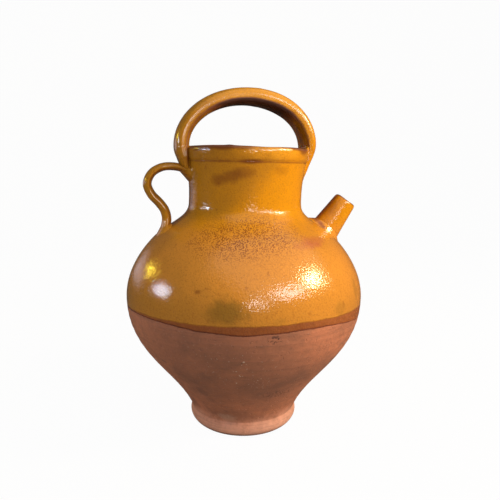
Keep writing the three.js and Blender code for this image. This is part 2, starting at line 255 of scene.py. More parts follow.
def line_through(corners, count=700):
    """Smooth line through corner points: cubic Hermite pieces over the chord lengths, each corner's slope
    being the weighted mean of the chords on its two sides. Returns distances along it and points."""
    corners = np.array(corners, float)
    chord = np.concatenate([[0], np.cumsum(np.linalg.norm(np.diff(corners, axis=0), axis=1))])
    slope = np.gradient(corners, chord, axis=0)
    along = np.linspace(0, chord[-1], count)
    piece = np.clip(np.searchsorted(chord, along, side="right") - 1, 0, len(chord) - 2)
    width = np.diff(chord)[piece, None]
    x = (along - chord[piece])[:, None] / width
    points = (
        (2 * x**3 - 3 * x**2 + 1) * corners[piece]
        + (x**3 - 2 * x**2 + x) * width * slope[piece]
        + (3 * x**2 - 2 * x**3) * corners[piece + 1]
        + (x**3 - x**2) * width * slope[piece + 1]
    )
    distance = np.concatenate([[0], np.cumsum(np.linalg.norm(np.diff(points, axis=0), axis=1))])
    return distance, points


# Thrown body


def body_outline(size):
    """Half section of the pot, as rows of radius and height.

    The wall is a run of cubic Bezier curves from the crease over the foot to the groove under the rim, and
    its inside is the same run moved in along its normals by the wall's thickness."""
    crease = (size.foot_radius, size.foot_height)
    belly = (size.belly_radius, size.belly_height)
    shoulder = (size.shoulder_radius, size.shoulder_height)
    collar = (size.collar_radius, size.collar_height)
    waist = (size.neck_radius, size.neck_height)
    groove = (size.groove_radius, size.groove_height)
    flank = cubic(crease, (73.9 * MM, 64.8 * MM), (size.belly_radius, 82.2 * MM), belly)
    belly_run = cubic(belly, (size.belly_radius, 167.7 * MM), (94 * MM, 192.6 * MM), shoulder)
    slope = cubic(shoulder, (79.1 * MM, 205.2 * MM), (69.8 * MM, 209.4 * MM), collar)
    fillet = cubic(collar, (56.1 * MM, 222 * MM), (size.neck_radius, 225.5 * MM), waist)
    flare = cubic(waist, (size.neck_radius, 249 * MM), (58.4 * MM, 259.5 * MM), groove)
    wall = joined(flank, belly_run, slope, fillet, flare)
    tangent = unit(np.gradient(wall, axis=0))
    inside = wall - size.wall * np.stack([tangent[:, 1], -tangent[:, 0]], axis=1)
    marks = np.cumsum([0, len(flank) - 1, len(belly_run) + len(slope) - 2, len(fillet) + len(flare) - 2])
    top = (58.2 * MM, size.rim_height)
    band = (size.rim_radius - 0.6 * MM, size.groove_height + 2.4 * MM)
    lip = (size.rim_radius, size.rim_height - 4.6 * MM)
    mouth = (size.rim_radius - 7.7 * MM, size.rim_height - 8 * MM)
    tooled = (size.groove_radius - 0.3 * MM, size.groove_height + 0.7 * MM)
    rim = joined(
        cubic(groove, tooled, (size.groove_radius + 0.3 * MM, band[1] - 0.9 * MM), band, 0.5 * MM),
        cubic(band, (band[0] + 0.2 * MM, band[1] + 2 * MM), (lip[0], lip[1] - 2 * MM), lip),
        cubic(lip, (lip[0], top[1] - 1 * MM), (60.2 * MM, top[1]), top, 0.6 * MM),
        cubic(top, (55.6 * MM, top[1]), (mouth[0] + 0.2 * MM, mouth[1] + 5 * MM), mouth, 0.6 * MM),
        cubic(mouth, (mouth[0], mouth[1] - 2 * MM), inside[-1] + [0, 2 * MM], inside[-1]),
    )
    underside = np.stack([np.linspace(0, size.base_radius, 12), np.zeros(12)], axis=1)
    bead = cubic(underside[-1], (49 * MM, 0), (59 * MM, 8.8 * MM), crease, 0.8 * MM)
    floor_edge = (FLOOR_EDGE, size.floor_height)
    hollow = cubic(inside[0], (46.4 * MM, 14 * MM), (42 * MM, size.floor_height), floor_edge)
    floor = np.stack([np.linspace(FLOOR_EDGE, 0, 10), np.full(10, size.floor_height)], axis=1)
    outer_foot = joined(underside, bead)
    return {
        "wall": wall,
        "inside": inside,
        "marks": marks,
        "rim": rim,
        "outer_foot": outer_foot,
        "inner_foot": joined(hollow, floor),
        "outer": joined(outer_foot, wall, rim),
    }


def lean_share(z, size):
    """0 up to the collar, growing evenly to 1 at the lip."""
    return np.clip((z - size.collar_height) / (size.rim_height - size.collar_height), 0, None)


def leaned(points, size):
    """Points moved towards +X, and lowered in proportion to x, by their share of the lean."""
    x, y, z = np.moveaxis(points, -1, 0)
    share = lean_share(z, size)
    return np.stack([x + size.shift * share, y, z - size.dip * share * x / size.rim_radius], axis=-1)


def upright(points, size):
    """Undoes the lean, near enough: the share is read at the leaned height."""
    x, y, z = np.moveaxis(points, -1, 0)
    share = lean_share(z, size)
    x = x - size.shift * share
    return np.stack([x, y, z + size.dip * share * x / size.rim_radius], axis=-1)


def column_angles():
    """Angles of the columns, starting behind the side handle so that the spout falls in the middle."""
    return -math.pi + ROUND * np.arange(COLUMNS) / COLUMNS


def uneven_share(r, z):
    """0 on the axis and near the underside, and 1 from 30 mm out and up."""
    return eased(0.004, 0.03, z) * eased(0, 0.03, r)


def thrown(rows, size, inside=False):
    """Rows of radius and height turned about the Z axis.

    The radius strays by a few slow waves in angle and height and by a shallow spiral of throwing rings, and
    the lip rises and falls a little. All of it dies out towards the flat underside."""
    angle = column_angles()[None, :]
    r, z = rows[:, 0, None], rows[:, 1, None]
    stray = 0.55 * np.cos(2 * angle + 0.9) + 0.3 * np.cos(3 * angle - 1.3 + z / 0.05)
    stray = stray + 0.15 * np.cos(5 * angle + z / 0.03)
    turn = z / 0.0085 + angle / ROUND + 0.35 * np.sin(z / 0.021)
    strength = np.where(inside, 0.9, 0.22 * (1 - eased(0.11, 0.14, z)) + 0.12)
    rings = strength * (0.6 + 0.4 * np.sin(z / 0.017 + 1.1)) * np.sin(ROUND * turn)
    r = r + size.unevenness * uneven_share(r, z) * (stray + rings - INSET)
    lip = eased(size.rim_height - 0.016, size.rim_height, z)
    thumb = hill(angle, -2.05, 0.07) - 0.6 * hill(angle, -1.45, 0.16)
    wave = 0.7 * np.sin(2 * angle + 0.4) + 0.6 * np.sin(5 * angle) + 0.2 + 1.5 * thumb
    z = z + lip * size.unevenness * wave
    points = np.stack([r * np.cos(angle), r * np.sin(angle), np.broadcast_to(z, r.shape)], axis=-1)
    return leaned(points, size)


def grid_normals(grid):
    """Outward normals of a grid whose columns close into rings: cross product of the steps along a ring and
    from ring to ring. Where a ring shrinks to a point, the next ring's mean normal is used."""
    across = np.roll(grid, -1, axis=1) - np.roll(grid, 1, axis=1)
    along = np.gradient(grid, axis=0)
    normal = np.cross(across, along)
    size = np.linalg.norm(normal, axis=-1, keepdims=True)
    normal = normal / np.maximum(size, 1e-15)
    for row, near in ((0, 1), (-1, -2)):
        if size[row].max() < 1e-12:
            normal[row] = normal[near].mean(axis=0)
    return normal


def ring_faces(rows, columns, looped):
    """Quads of a grid of vertex numbers: each ring to the next, and the last to the first where looped."""
    number = np.arange(rows * columns).reshape(rows, columns)
    following = np.roll(number, -1, axis=0) if looped else number[1:]
    lower = number if looped else number[:-1]
    return np.stack([lower, np.roll(lower, -1, 1), np.roll(following, -1, 1), following], axis=-1)


def piece(node, slot, points, faces, corner_normals, thin_and_shade):
    """A finished piece: mesh from points, faces and one normal per face corner, riding on the jar and
    standing for its CAD node. The last argument is a value per point that the finish reads: how far the glaze
    has thinned, with painted shade under the handles and in the groove."""
    corners = np.concatenate([group.ravel() for group in faces])
    counts = np.concatenate([np.full(len(group), group.shape[1]) for group in faces])
    starts = np.concatenate([[0], np.cumsum(counts)[:-1]])
    mesh = bpy.data.meshes.new("jar_" + node)
    mesh.vertices.add(len(points))
    mesh.vertices.foreach_set("co", np.ascontiguousarray(points, np.float32).ravel())
    mesh.loops.add(len(corners))
    mesh.loops.foreach_set("vertex_index", corners.astype(np.int32))
    mesh.polygons.add(len(counts))
    mesh.polygons.foreach_set("loop_start", starts.astype(np.int32))
    mesh.polygons.foreach_set("use_smooth", np.ones(len(counts), bool))
    mesh.update(calc_edges=True)
    if mesh.validate():
        raise RuntimeError(f"{node}: its faces don't make a sound mesh")
    mesh.normals_split_custom_set(np.concatenate(corner_normals).tolist())
    mesh.attributes.new("thin_and_shade", "FLOAT", "POINT").data.foreach_set("value", thin_and_shade.astype(np.float32))
    made = bpy.data.objects.new("jar_" + node, mesh)
    bpy.context.scene.collection.objects.link(made)
    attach(made, BODY)
    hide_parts(node)
    return made


def flat_normals(points, faces):
    """Each face's own normal at all its corners, from its two diagonals or sides."""
    corner = points[faces]
    normal = unit(np.cross(corner[:, 2] - corner[:, 0], corner[:, -1] - corner[:, 1]))
    return np.repeat(normal, faces.shape[1], axis=0)


def looped_mesh(grid, normal, flat_bands):
    """Points, faces and corner normals of a closed tube of rings. Flat bands have their faces' normals."""
    rows, columns = grid.shape[:2]
    points = grid.reshape(-1, 3)
    faces = ring_faces(rows, columns, True)
    flat = np.zeros(rows, bool)
    flat[list(flat_bands)] = True
    smooth_faces = faces[~flat].reshape(-1, 4)
    flat_faces = faces[flat].reshape(-1, 4)
    normals = [normal.reshape(-1, 3)[smooth_faces.ravel()], flat_normals(points, flat_faces)]
    return points, [smooth_faces, flat_faces], normals


def capped_mesh(grid, normal):
    """Points, faces and corner normals of rings between two points on the axis."""
    columns = grid.shape[1]
    points, normals = (
        np.stack([ends_last(part[..., k]) for k in range(3)], axis=1) for part in (grid, normal)
    )
    rings = grid.shape[0] - 2
    quads = ring_faces(rings, columns, False).reshape(-1, 4)
    ring = np.arange(columns)
    following = np.roll(ring, -1)
    first = np.stack([np.full(columns, rings * columns), following, ring], axis=1)
    last_ring = (rings - 1) * columns
    last = np.stack([last_ring + ring, last_ring + following, np.full(columns, rings * columns + 1)], axis=1)
    faces = [quads, np.vstack([first, last])]
    return points, faces, [normals[group.ravel()] for group in faces]


def ends_last(values):
    """Values of a capped mesh's rings, in the order of its points."""
    return np.concatenate([values[1:-1].ravel(), values[0, :1], values[-1, :1]])


def wall_section(which, size):
    """Outer and inner rings of one thrown section, with normals taken over the neighbouring rings too, so
    that sections meet without a line. The outer rings go up and the inner ones come down."""
    outline = body_outline(size)
    first, last = outline["marks"][which], outline["marks"][which + 1]
    outer = thrown(outline["outer"], size)
    offset = len(outline["outer_foot"]) - 1
    inner = thrown(outline["inside"], size, inside=True)
    outer_normal = grid_normals(outer)[offset + first : offset + last + 1]
    inner_normal = -grid_normals(inner)[first : last + 1][::-1]
    grid = np.vstack([outer[offset + first : offset + last + 1], inner[first : last + 1][::-1]])
    return grid, np.vstack([outer_normal, inner_normal])


def pierced(grid, faces, normals, spout):
    """Takes the quads inside the spout's foot out of both faces of a wall, and lines the hole with quads
    from each outer edge of it to the matching inner edge."""
    rows, columns = grid.shape[:2]
    half = rows // 2
    root = np.array(spout.root)
    axis = unit(np.array(spout.mouth) - root)
    away = grid - root
    away = np.linalg.norm(away - (away @ axis)[..., None] * axis, axis=-1)
    near = (away < spout.piercing + PIERCING_MARGIN) & (grid[..., 0] > 0)
    outer = near[:half] & near[half:][::-1]
    cell = outer[:-1] & outer[1:] & np.roll(outer, -1, 1)[:-1] & np.roll(outer, -1, 1)[1:]
    gone = np.zeros((rows, columns), bool)
    gone[: half - 1] = cell
    gone[half : rows - 1] = cell[::-1]
    number = np.arange(rows * columns).reshape(rows, columns)
    out, back = number[:half], number[half:][::-1]
    right = np.roll(np.arange(columns), -1)
    padded = np.pad(cell, ((1, 1), (0, 0)))
    edges = []
    for open_side, a, b in (
        (cell & ~padded[:-2], (0, 0), (0, 1)),
        (cell & ~np.roll(cell, -1, 1), (0, 1), (1, 1)),
        (cell & ~padded[2:], (1, 1), (1, 0)),
        (cell & ~np.roll(cell, 1, 1), (1, 0), (0, 0)),
    ):
        i, j = np.nonzero(open_side)
        ends = [(i + down, np.where(over, right[j], j)) for down, over in (a, b)]
        edges.append(np.stack([out[ends[0]], out[ends[1]], back[ends[1]], back[ends[0]]], axis=1))
    lining = np.vstack(edges)
    keep = ~gone[: rows - 1][np.arange(rows - 1) != half - 1].ravel()
    smooth = faces[0][keep]
    corner = normals[0].reshape(-1, 4, 3)[keep].reshape(-1, 3)
    points = grid.reshape(-1, 3)
    return [smooth, faces[1], lining], [corner, normals[1], flat_normals(points, lining)]


# Applied clay


class Strap:
    """A strap pulled along a line in the XZ plane. At a distance along the line and an angle round it, the
    surface is the line's point, plus half the width times a squared-off cosine along Y, plus half the
    thickness times a squared-off sine across the line. Under and over are the powers that square off the two
    faces, where 1 is an ellipse."""

    def __init__(self, corners, half_sizes, under=0.8, over=0.8):
        self.distance, self.line = line_through(corners)
        self.length = self.distance[-1]
        self.tangent = unit(np.gradient(self.line, axis=0))
        self.half_sizes = half_sizes
        self.under, self.over = under, over

    def __call__(self, distance, angle):
        x, z = (np.interp(distance, self.distance, self.line[:, k]) for k in (0, 1))
        tx, tz = (np.interp(distance, self.distance, self.tangent[:, k]) for k in (0, 1))
        width, thickness = self.half_sizes(distance, self.length)
        power = np.where(np.sin(angle) < 0, self.under, self.over)
        side = width * np.sign(np.cos(angle)) * np.abs(np.cos(angle)) ** power
        rise = thickness * np.sign(np.sin(angle)) * np.abs(np.sin(angle)) ** power
        return np.stack([x - tz * rise, side, z + tx * rise], axis=-1)

    def rings(self, count):
        """Grid of the whole strap, from a point at one end to a point at the other, and its angles."""
        distance = np.linspace(0, self.length, count)[:, None]
        distance, angle = np.broadcast_arrays(distance, OVAL_ANGLES)
        grid = self(distance, angle)
        first, last = (np.broadcast_to(grid[row].mean(axis=0), grid[row].shape)[None] for row in (0, -1))
        return np.vstack([first, grid, last]), np.vstack([angle[:1], angle, angle[:1]])


class Cone:
    """The spout's outside. At a distance from the root and an angle, the surface is the axis point plus the
    radius there, which eases from root to mouth, along the turned side."""

    def __init__(self, size):
        self.root, mouth = np.array(size.root), np.array(size.mouth)
        self.length = np.linalg.norm(mouth - self.root)
        self.axis = (mouth - self.root) / self.length
        self.up = np.cross((0, 1, 0), self.axis)
        self.size = size

    def radius(self, distance):
        share = np.clip(distance / self.length, 0, 1)
        return self.size.root_radius + (self.size.mouth_radius - self.size.root_radius) * share**0.9

    def place(self, distance, radius, angle):
        side = np.cos(angle)[..., None] * self.up + np.sin(angle)[..., None] * np.array((0, 1, 0))
        return self.root + distance[..., None] * self.axis + radius[..., None] * side

    def __call__(self, distance, angle):
        return self.place(distance, self.radius(distance), angle)


class Pot:
    """The outside of the thrown body, as a solid with its mouth plugged."""

    def __init__(self, size):
        outline = body_outline(size)
        lip = outline["rim"][: int(np.argmin(outline["rim"][:, 0])) + 1]
        section = joined(outline["outer_foot"], outline["wall"], lip)[1:]
        section[:, 0] -= INSET * size.unevenness * uneven_share(*section.T)
        self.section = np.vstack([section[::2], [[0, section[-1, 1]]], [[0, 0]]])
        self.size = size

    def distance(self, points):
        """Distance to the nearest segment of the half section, below 0 inside it, where a level line out from
        the point crosses the section an odd number of times."""
        flat = upright(points, self.size)
        spot = np.stack([np.hypot(flat[..., 0], flat[..., 1]), flat[..., 2]], axis=-1)[..., None, :]
        start, end = self.section, np.roll(self.section, -1, axis=0)
        side = end - start
        share = np.clip(((spot - start) * side).sum(-1) / np.maximum((side * side).sum(-1), 1e-18), 0, 1)
        away = np.linalg.norm(spot - start - share[..., None] * side, axis=-1).min(axis=-1)
        across = (start[:, 1] > spot[..., 1]) != (end[:, 1] > spot[..., 1])
        height = np.where(np.abs(side[:, 1]) < 1e-12, 1e-12, side[:, 1])
        crossing = start[:, 0] + (spot[..., 1] - start[:, 1]) * side[:, 0] / height
        inside = (across & (spot[..., 0] < crossing)).sum(axis=-1) % 2 == 1
        return np.where(inside, -away, away)

    def outward(self, points):
        """Unit gradient of the distance, by central differences."""
        steps = np.eye(3) * 0.2 * MM
        slope = [self.distance(points + step) - self.distance(points - step) for step in steps]
        return unit(np.stack(slope, axis=-1))


def pressed_clay(surface, pot, wall_end, free_end, rise, spread):
    """Clay pressed round a root, as a closed tube of rings.

    Along each line of the surface, the place where it enters the pot is found by halving. From a point
    the rise further out, a quadratic Bezier curve bends through that place to a point the spread away on the
    pot, so it leaves the surface and meets the pot smoothly. Both ends then turn under by a little. The rise
    and the spread are single lengths, or one for each line."""
    angle = OVAL_ANGLES
    sunk, clear = np.full(OVAL_COLUMNS, wall_end), np.full(OVAL_COLUMNS, free_end)
    for _ in range(HALVINGS):
        middle = (sunk + clear) / 2
        buried = pot.distance(surface(middle, angle)) < 0
        sunk, clear = np.where(buried, middle, sunk), np.where(buried, clear, middle)
    way = math.copysign(1, free_end - wall_end)
    corner = surface(clear, angle)
    upper = surface(clear + way * rise, angle)
    around = surface(clear, angle + 0.02) - surface(clear, angle - 0.02)
    out = unit(np.cross(around, surface(clear + 0.3 * MM, angle) - surface(clear - 0.3 * MM, angle)))
    up = pot.outward(corner)
    flat = unit(out - (out * up).sum(-1, keepdims=True) * up)
    lower = corner + np.broadcast_to(spread, angle.shape)[:, None] * flat
    for _ in range(4):
        lower = lower - pot.distance(lower)[:, None] * pot.outward(lower)
    u = np.linspace(0, 1, LUTE_ROWS)[:, None, None]
    sheet = (1 - u) ** 2 * upper + 2 * u * (1 - u) * corner + u**2 * lower
    under = upper - TURN_UNDER * out, lower - TURN_UNDER * pot.outward(lower)
    grid = np.concatenate([under[0][None], sheet, under[1][None]])
    if way > 0:
        grid, sheet = grid[::-1], sheet[::-1]
    normal = np.zeros_like(grid)
    normal[1:-1] = grid_normals(sheet)
    return looped_mesh(grid, normal, (0, len(grid) - 2, len(grid) - 1))


def arch_strap(size):
    """Arched handle: half an ellipse with a tail at each end, which thins, spreads and ends in a rounded
    tongue. The strap is thickest at the crown and flatter underneath than on top."""
    crown = size.arch_top - size.arch_crown / 2 - 0.25 * MM
    turn = np.radians(np.arange(180, -1, -15))
    swell = 0.6 * MM * hill(turn, 0.87, 0.44)
    across = size.arch_shift + (size.arch_span + swell) * np.cos(turn) - 0.6 * MM * hill(turn, 0, 0.3)
    arch = np.stack([across, size.arch_spring + (crown - size.arch_spring + swell) * np.sin(turn)], axis=1)
    first = np.array([[-54.5, 257.6], [-60.3, 266], [-62.4, 275.5]]) * MM
    last = np.array([[63, 275.5], [59.6, 266], [56.1, 255], [53.4, 246]]) * MM

    def half_sizes(distance, whole):
        end = np.minimum(distance, whole - distance)
        tail = 1 - eased(5 * MM, 27 * MM, distance) * eased(5 * MM, 62 * MM, whole - distance)
        tongue = 0.4 + 0.6 * np.sqrt(np.clip(end / (17 * MM), 0, 1))
        bowed = np.sin(math.pi * distance / whole) ** 2
        thickness = size.arch_leg + (size.arch_crown - size.arch_leg) * bowed
        sway = 0.35 * MM * np.sin(distance / 0.021 + 0.6) + 0.25 * MM * np.sin(distance / 0.0093)
        width = tongue * (size.arch_width + (TAIL_WIDTH - size.arch_width) * tail) + sway
        blob = 0.3 * MM * hill(distance - whole / 2, 5 * MM, 3 * MM)
        swell = 1.2 * MM * hill(distance / whole, 0.63, 0.09)
        knee = 1.3 * MM * hill(whole - distance, 40 * MM, 10 * MM)
        thickness = thickness + (size.arch_tail - thickness) * tail + 0.3 * sway + blob + swell + knee
        return width / 2, thickness * (0.45 + 0.55 * eased(0, 12 * MM, end)) / 2

    return Strap(np.vstack([first, arch, last]), half_sizes, 0.6)


def side_strap(size):
    """Side handle: out from under the rim in a round bend, then down to the shoulder in a slack S."""
    corners = [
        [-54.5, 257.6], [-60, 261.3], [-71, 264], [-83.5, 262.8], [-92.6, 256.8], [-96.5, 247.0],
        [-92.6, 237], [-85.2, 228.9], [-80.2, 221.6], [-78.3, 213.5], [-79.7, 204.5], [-82, 195.8],
    ]

    def half_sizes(distance, whole):
        end = np.minimum(distance, whole - distance)
        root = 1 - eased(4 * MM, 22 * MM, end)
        thickness = size.side_upper + (size.side_lower - size.side_upper) * eased(0.2, 0.8, distance / whole)
        sway = 0.3 * MM * np.sin(distance / 0.011)
        buried = 0.45 + 0.55 * eased(0, 7 * MM, end)
        return (size.side_width + 5 * MM * root + sway) / 2, thickness * buried / 2

    return Strap(np.array(corners) * MM, half_sizes, 1, 1)


# Finishes


class Value:
    """A shader socket that can stand in a sum: each operator adds the Math node it means."""

    def __init__(self, shader, socket):
        self.shader, self.socket = shader, socket

    def output(self, name):
        """Another output of the same node."""
        return Value(self.shader, self.socket.node.outputs[name])

    def __add__(self, other):
        return self.shader.math("ADD", self, other)

    def __sub__(self, other):
        return self.shader.math("SUBTRACT", self, other)

    def __rsub__(self, other):
        return self.shader.math("SUBTRACT", other, self)

    def __mul__(self, other):
        return self.shader.math("MULTIPLY", self, other)

    def __pow__(self, other):
        return self.shader.math("POWER", self, other)

    __radd__ = __add__
    __rmul__ = __mul__


class Shader:
    """A node tree under construction."""

    def __init__(self, owner):
        owner.use_nodes = True
        self.tree = owner.node_tree
        self.tree.nodes.clear()

    def node(self, kind, settings=None, inputs=None, output=0):
        """Adds a node: its settings are set first, then its sockets get values or links."""
        made = self.tree.nodes.new(kind)
        for key, value in (settings or {}).items():
            setattr(made, key, value)
        for key, value in (inputs or {}).items():
            socket = made.inputs[key]
            if isinstance(value, Value):
                self.tree.links.new(value.socket, socket)
            elif socket.type == "RGBA":
                socket.default_value = (*value, 1)
            else:
                socket.default_value = value
        return Value(self, made.outputs[output]) if made.outputs else made

    def math(self, operation, *values):
        return self.node("ShaderNodeMath", {"operation": operation}, dict(enumerate(values)))

    def axes(self, where):
        """The X, Y and Z of a position."""
        split = self.node("ShaderNodeSeparateXYZ", {}, {0: where})
        return [split.output(axis) for axis in "XYZ"]

    def step(self, low, high, value):
        """Eased step from 0 at low to 1 at high."""
        inputs = {"Value": value, "From Min": low, "From Max": high}
        return self.node("ShaderNodeMapRange", {"interpolation_type": "SMOOTHSTEP"}, inputs)

    def mix(self, share, a, b):
        """Colour a where the share is 0 and b where it is 1."""
        return self.node("ShaderNodeMix", {"data_type": "RGBA"}, {0: share, 6: a, 7: b}, 2)

    def layered(self, base, *layers):
        """A base colour under layers, each a share and a colour."""
        for share, over in layers:
            base = self.mix(share, base, over)
        return base

    def lobe(self, angle, degrees, power):
        """1 at an angle round the pot and 0 opposite: half of one plus the cosine, raised to a power."""
        return (self.math("COSINE", angle - math.radians(degrees)) * 0.5 + 0.5) ** power

    def noise(self, where, scale, detail=2.0, rough=0.5):
        """Noise about 0.5, with features of one over the scale in metres."""
        inputs = {"Vector": where, "Scale": scale, "Detail": detail, "Roughness": rough}
        return self.node("ShaderNodeTexNoise", {}, inputs)

    def stretched(self, where, centre, scale, turn=0.0):
        """Positions measured from a centre, turned about Z and divided by a scale along each axis."""
        inputs = {"Vector": where, "Location": centre, "Rotation": (0, 0, turn), "Scale": scale}
        return self.node("ShaderNodeMapping", {"vector_type": "TEXTURE"}, inputs)

    def smudge(self, where, ragged, centre, reach, turn=0.0):
        """A soft patch: 1 at the centre and 0 at the reach, both in millimetres. Ragged moves its outline."""
        away = self.stretched(where, [c * MM for c in centre], [r * MM for r in reach], turn)
        away = self.node("ShaderNodeVectorMath", {"operation": "LENGTH"}, {0: away}, "Value")
        return self.step(1.0, 0.3, away + ragged)

    def patched(self, base, colours, patches, where, ragged):
        """A base colour under patches, as the tables below list them."""
        for name, centre, reach, turn, share in patches:
            patch = self.smudge(where, ragged, centre, reach, turn)
            base = self.mix(patch * share, base, getattr(colours, name))
        return base

    def seen_white(self, kind, lit, mirrored, share):
        """Lit where light falls, a dim white in reflections and, by a share, plain white to the camera."""
        path = self.node("ShaderNodeLightPath", output="Is Camera Ray")
        glossy = self.math("MAXIMUM", path.output("Is Glossy Ray"), path.output("Is Transmission Ray"))
        dim, white = (
            self.node(kind, {}, {"Color": (1, 1, 1), "Strength": strength}) for strength in (mirrored, 1.0)
        )
        mixed = self.node("ShaderNodeMixShader", {}, {0: glossy, 1: lit, 2: dim})
        return self.node("ShaderNodeMixShader", {}, {0: path * share, 1: mixed, 2: white})


HONEY_PATCHES = (  # colour, centre and reach in millimetres, turn, share
    ("olive_and_shade", (-38, -111, 146), (29, 17, 16), 0.28, 0.95),
    ("olive_and_shade", (66, -98, 141), (13, 12, 8), 0.6, 0.35),
    ("olive_and_shade", (91, -73, 154), (7, 9, 15), 0.9, 0.4),
    ("olive_and_shade", (6, -118, 138), (8, 6, 4), 0.0, 0.3),
    ("rust", (-34, -46, 252.5), (14, 12, 7.5), 0.5, 0.55),
    ("rust", (-24, -52, 256), (15, 12, 8), 0.4, 0.55),
    ("rust", (-13, -56, 259.5), (14, 12, 6.5), 0.2, 0.44),
    ("rust", (-7, -60, 269), (17, 8, 3), 0.0, 0.8),
    ("rust", (25, -55, 261), (20, 10, 6), -0.4, 0.25),
    ("rust", (-61, -97, 161), (5, 4, 2.6), 0.5, 0.6),
    ("russet", (50, -73, 198), (26, 16, 7), 0.7, 0.5),
    ("russet", (40, -80, 195), (22, 16, 5), 0.7, 0.4),
    ("plum", (73, -2, 210.2), (6, 7, 4), 0.0, 0.75),
    ("plum", (74.6, -7, 209.2), (6, 7, 4), 0.0, 0.75),
    ("plum", (76.6, -11.5, 207), (5, 6, 3.6), 0.0, 0.75),
    ("plum", (79, -15, 204), (5, 5, 3.5), 0.0, 0.7),
    ("rust", (-90, -6, 225), (6, 12, 10), 0.0, 0.35),
    # Painted shade: the left of the belly made darker.
    ("olive_and_shade", (-75, -85, 180), (45, 40, 35), 0.0, 0.13),
    # Darker glaze over the spout, with painted shade on its upper left side.
    ("rust", (92, 0, 222), (16, 15, 18), 0.0, 0.5),
    # Painted light: the arch's crown and right leg, and the front of the rim and lip, made paler where they
    # are lit.
    ("painted_light", (16, -10, 326), (72, 30, 44), 0.0, 0.52),
    ("painted_light", (20, -58, 278), (50, 34, 9), -0.3, 0.5),
    ("rust", (48, -40, 279.5), (12, 14, 6), 0.0, 0.7),
    ("rust", (-48, -38, 281.4), (16, 14, 4), 0.0, 0.75),
    ("rust", (-32, -52, 281.4), (16, 12, 4), 0.0, 0.75),
    ("rust", (-14, -60, 281.8), (14, 12, 3.4), 0.0, 0.6),
    ("rust", (-50, -28, 281), (10, 12, 4), 0.0, 0.7),
    ("rust", (5.5, 0, 339.6), (6, 9, 3), 0.0, 0.9),
)


def honey_glaze(s, place, colours, cloud, thin_and_shade):
    """Honey glaze: olive where it lies thick and as painted shade on the side away from the lamps, paler as
    painted light on the arch's crown and the lip, specked where iron came through, rusty along edges where it
    has thinned, and darkened by painted shade under the handles and in the groove.
    """
    x, _, z = s.axes(place)
    drift = cloud - 0.5
    ragged = drift * 0.9
    slant = x - z + 0.242  # falls towards the side handle and with height
    # Painted shade: olive over the left of the neck and, more strongly, over the left of the rim, the arch's
    # left leg and the side handle, the parts turned away from the lamps.
    painted_shade = s.step(0.012, -0.018, slant + drift * 0.02) * s.step(0.212, 0.224, z)
    rim = s.step(0.266, 0.271, z) * s.step(0.288, 0.281, z)
    # More olive near the slip's edge; the extra on the left side is painted shade.
    low = s.step(0.172, 0.14, z + ragged * 0.02)
    glaze = s.layered(
        s.mix(s.step(0.19, 0.22, z + drift * 0.02), colours.honey, colours.amber),
        (s.step(0.42, 0.72, s.noise(place, 17, 3, 0.55)) * 0.25, colours.olive_and_shade),
        (painted_shade * (0.38 + 0.16 * s.step(-0.05, -0.08, slant)), colours.olive_and_shade),
        (rim * 0.17, colours.rust),
        (low * (0.18 + 0.2 * s.step(0.04, -0.03, x)), colours.olive_and_shade),
    )
    glaze = s.patched(glaze, colours, HONEY_PATCHES, place, ragged)
    zone = s.smudge(place, ragged * 0.6, (-14, -75, 203), (76, 46, 28)) * 0.85 + 0.05
    dots = s.node("ShaderNodeTexVoronoi", {}, {"Vector": place, "Scale": 700})
    iron = s.step(0.58, 0.3, dots) * s.step(0.05, 0.3, dots.output("Color"))
    iron = iron * s.step(0.15, 0.5, s.noise(place, 150, 2))
    return s.layered(
        glaze,
        (iron * zone, colours.speck),
        (s.step(0.5, 0.68, s.noise(place, 750, 2, 0.6)) * 0.28, colours.rust),
        (s.step(0.6, 0.85, s.noise(place, 260, 2)) * 0.4, colours.speck),
        # Rust and then burnt glaze where the glaze has thinned, and as painted shade under the handles and in
        # the groove.
        (s.step(0.1, 0.95, thin_and_shade + drift * 0.7), colours.rust),
        (s.step(0.9, 1.25, thin_and_shade) * 0.85, colours.burnt_and_shade),
    )


CLAY_PATCHES = (  # colour, centre and reach in millimetres, turn, share
    # The first, broad patch is soot together with painted shade over the left and middle of the lower body.
    ("soot_and_shade", (-45, -98, 90), (115, 90, 95), 0.3, 0.46),
    ("soot_and_shade", (-36, -104, 106), (36, 26, 18), 0.0, 0.26),
    ("soot_and_shade", (25, -88, 62), (70, 50, 45), 0.0, 0.22),
    ("soot_and_shade", (-12, -87, 77), (15, 22, 28), 0.0, 0.25),
    ("soot_and_shade", (8, -118, 125), (18, 8, 4), 0.0, 0.35),
    ("soot_and_shade", (-20, -54, 27), (34, 22, 14), 0.3, 0.4),
    ("chalk", (-30, -52, 24), (18, 12, 6), 0.3, 0.2),
    ("soot_and_shade", (-24.3, -108.2, 100), (1.6, 2, 1.4), 0.0, 0.9),
    ("chalk", (-22.8, -108.6, 101.4), (1.3, 2, 1), 0.0, 0.9),
    ("soot_and_shade", (-87, -57, 88), (5, 5, 2), 0.6, 0.5),
)
# Centre and reach in millimetres
PITTED = (((13, -69, 58), (26, 16, 9)), ((11, -54, 35), (4, 6, 12)), ((2, -118, 122), (9, 7, 6)))
LIMED = (((-52, -94, 103), (11, 10, 14)), ((-20, -100, 88), (40, 30, 40)))


